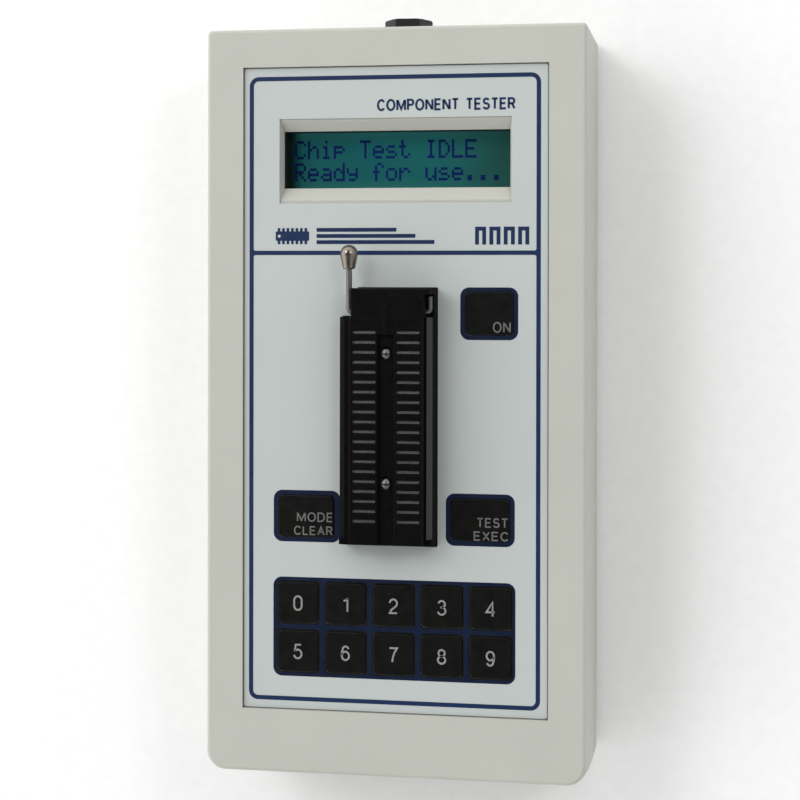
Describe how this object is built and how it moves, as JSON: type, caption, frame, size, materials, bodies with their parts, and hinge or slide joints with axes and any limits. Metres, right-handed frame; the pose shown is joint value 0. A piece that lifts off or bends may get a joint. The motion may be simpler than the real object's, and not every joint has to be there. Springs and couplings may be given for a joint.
{
  "type": "component tester",
  "caption": "Handheld tester for digital chips: light grey case with a recessed keypad panel, a backlit display and a black lever-operated test socket.",
  "frame": {"origin": "middle of the overall length and width, at the height of the feet's undersides", "axes": "+Z out of the front panel, +Y towards the end with the adapter socket, +X to the user's right"},
  "size_m": [0.1, 0.1984, 0.0523],
  "materials": {
    "case_plastic": "fine spark-eroded texture, warm light grey",
    "overlay_film": "printed polycarbonate film, satin",
    "key_film": "black satin film",
    "switch_film": "polyester film",
    "tail_film": "amber film",
    "black_plastic": "moulded black",
    "socket_plastic": "glass-filled black, slightly mottled",
    "part_plastic": "natural nylon",
    "chip_plastic": "moulded epoxy",
    "network_coating": "dipped coating",
    "capacitor_sleeve": "shrink sleeve",
    "foot_rubber": "soft matt",
    "screw_steel": "zinc plated",
    "spring_steel": "stainless",
    "frame_metal": "blackened sheet",
    "can_metal": "drawn can",
    "bright_metal": "nickel plated",
    "dark_screw": "blackened, worn bright on the dome",
    "lever_steel": "darkened spring steel",
    "contact_metal": "nickel plated spring alloy",
    "pin_metal": "tinned",
    "display_glass": "glass of a backlit liquid crystal display",
    "backlight_plastic": "diffuser",
    "circuit_board": "green solder resist",
    "cell_jacket": "plain printed jacket over a steel can",
    "red_lead": "insulated stranded wire",
    "black_lead": "insulated stranded wire"
  },
  "bodies": {
    "case": {"front_shell": "case_plastic", "rear_shell": "case_plastic", "rubber_feet": "foot_rubber", "case_screws": "screw_steel", "panel_overlay": "overlay_film", "keypad_layer": "switch_film", "dome_contacts": "spring_steel", "keypad_tail": "tail_film", "keypad_connector": "part_plastic", "display_shroud": "black_plastic", "lcd_frame": "frame_metal", "lcd_glass": "display_glass", "lcd_backlight": "backlight_plastic", "lcd_board": "circuit_board", "lcd_header": "pin_metal", "lcd_spacers": "pin_metal", "lcd_screws": "screw_steel", "lcd_nuts": "screw_steel", "main_board": "circuit_board", "board_screws": "screw_steel", "processor_chip": "chip_plastic", "memory_chip": "chip_plastic", "driver_chips": "chip_plastic", "resistor_networks": "network_coating", "capacitors": "capacitor_sleeve", "crystal": "can_metal", "voltage_regulator": "chip_plastic", "buzzer": "black_plastic", "zif_base": "socket_plastic", "zif_contacts": "contact_metal", "zif_cover_screws": "dark_screw", "dc_jack": "black_plastic", "dc_jack_contacts": "pin_metal", "dc_jack_nut": "black_plastic", "jack_lead_red": "red_lead", "jack_lead_black": "black_lead", "battery_cells": "cell_jacket", "battery_springs": "bright_metal", "battery_plates": "pin_metal", "battery_lead_red": "red_lead", "battery_lead_black": "black_lead"},
    "key_on": {"key_on": "key_film"},
    "key_mode_clear": {"key_mode_clear": "key_film"},
    "key_test_exec": {"key_test_exec": "key_film"},
    "key_0": {"key_0": "key_film"},
    "key_1": {"key_1": "key_film"},
    "key_2": {"key_2": "key_film"},
    "key_3": {"key_3": "key_film"},
    "key_4": {"key_4": "key_film"},
    "key_5": {"key_5": "key_film"},
    "key_6": {"key_6": "key_film"},
    "key_7": {"key_7": "key_film"},
    "key_8": {"key_8": "key_film"},
    "key_9": {"key_9": "key_film"},
    "socket_cover": {"zif_cover": "socket_plastic"},
    "socket_lever": {"zif_lever": "lever_steel", "zif_cam": "spring_steel", "lever_knob": "bright_metal"},
    "battery_door": {"battery_cover": "case_plastic"}
  },
  "joints": [
    {"name": "press_on", "type": "slide", "parent": "case", "child": "key_on", "axis": [0, 0, -1], "range_m": [0, 0.0004], "stiffness_N_per_m": 1200, "springref_m": -0.0002},
    {"name": "press_mode_clear", "type": "slide", "parent": "case", "child": "key_mode_clear", "axis": [0, 0, -1], "range_m": [0, 0.0004], "stiffness_N_per_m": 1200, "springref_m": -0.0002},
    {"name": "press_test_exec", "type": "slide", "parent": "case", "child": "key_test_exec", "axis": [0, 0, -1], "range_m": [0, 0.0004], "stiffness_N_per_m": 1200, "springref_m": -0.0002},
    {"name": "press_0", "type": "slide", "parent": "case", "child": "key_0", "axis": [0, 0, -1], "range_m": [0, 0.0004], "stiffness_N_per_m": 1200, "springref_m": -0.0002},
    {"name": "press_1", "type": "slide", "parent": "case", "child": "key_1", "axis": [0, 0, -1], "range_m": [0, 0.0004], "stiffness_N_per_m": 1200, "springref_m": -0.0002},
    {"name": "press_2", "type": "slide", "parent": "case", "child": "key_2", "axis": [0, 0, -1], "range_m": [0, 0.0004], "stiffness_N_per_m": 1200, "springref_m": -0.0002},
    {"name": "press_3", "type": "slide", "parent": "case", "child": "key_3", "axis": [0, 0, -1], "range_m": [0, 0.0004], "stiffness_N_per_m": 1200, "springref_m": -0.0002},
    {"name": "press_4", "type": "slide", "parent": "case", "child": "key_4", "axis": [0, 0, -1], "range_m": [0, 0.0004], "stiffness_N_per_m": 1200, "springref_m": -0.0002},
    {"name": "press_5", "type": "slide", "parent": "case", "child": "key_5", "axis": [0, 0, -1], "range_m": [0, 0.0004], "stiffness_N_per_m": 1200, "springref_m": -0.0002},
    {"name": "press_6", "type": "slide", "parent": "case", "child": "key_6", "axis": [0, 0, -1], "range_m": [0, 0.0004], "stiffness_N_per_m": 1200, "springref_m": -0.0002},
    {"name": "press_7", "type": "slide", "parent": "case", "child": "key_7", "axis": [0, 0, -1], "range_m": [0, 0.0004], "stiffness_N_per_m": 1200, "springref_m": -0.0002},
    {"name": "press_8", "type": "slide", "parent": "case", "child": "key_8", "axis": [0, 0, -1], "range_m": [0, 0.0004], "stiffness_N_per_m": 1200, "springref_m": -0.0002},
    {"name": "press_9", "type": "slide", "parent": "case", "child": "key_9", "axis": [0, 0, -1], "range_m": [0, 0.0004], "stiffness_N_per_m": 1200, "springref_m": -0.0002},
    {"name": "lever_turn", "type": "hinge", "parent": "case", "child": "socket_lever", "pos_m": [0, 0.02187, 0.0473], "axis": [1, 0, 0], "range_deg": [0, 75]},
    {"name": "socket_cover_slide", "type": "slide", "parent": "case", "child": "socket_cover", "axis": [0, -1, 0], "range_m": [0, 0.000608]},
    {"name": "battery_door_slide", "type": "slide", "parent": "case", "child": "battery_door", "axis": [0, -1, 0], "range_m": [0, 0.07]}
  ],
  "couplings": [
    {"joint": "lever_turn", "follows": "socket_cover_slide", "rad_per_m": 2150.2}
  ]
}
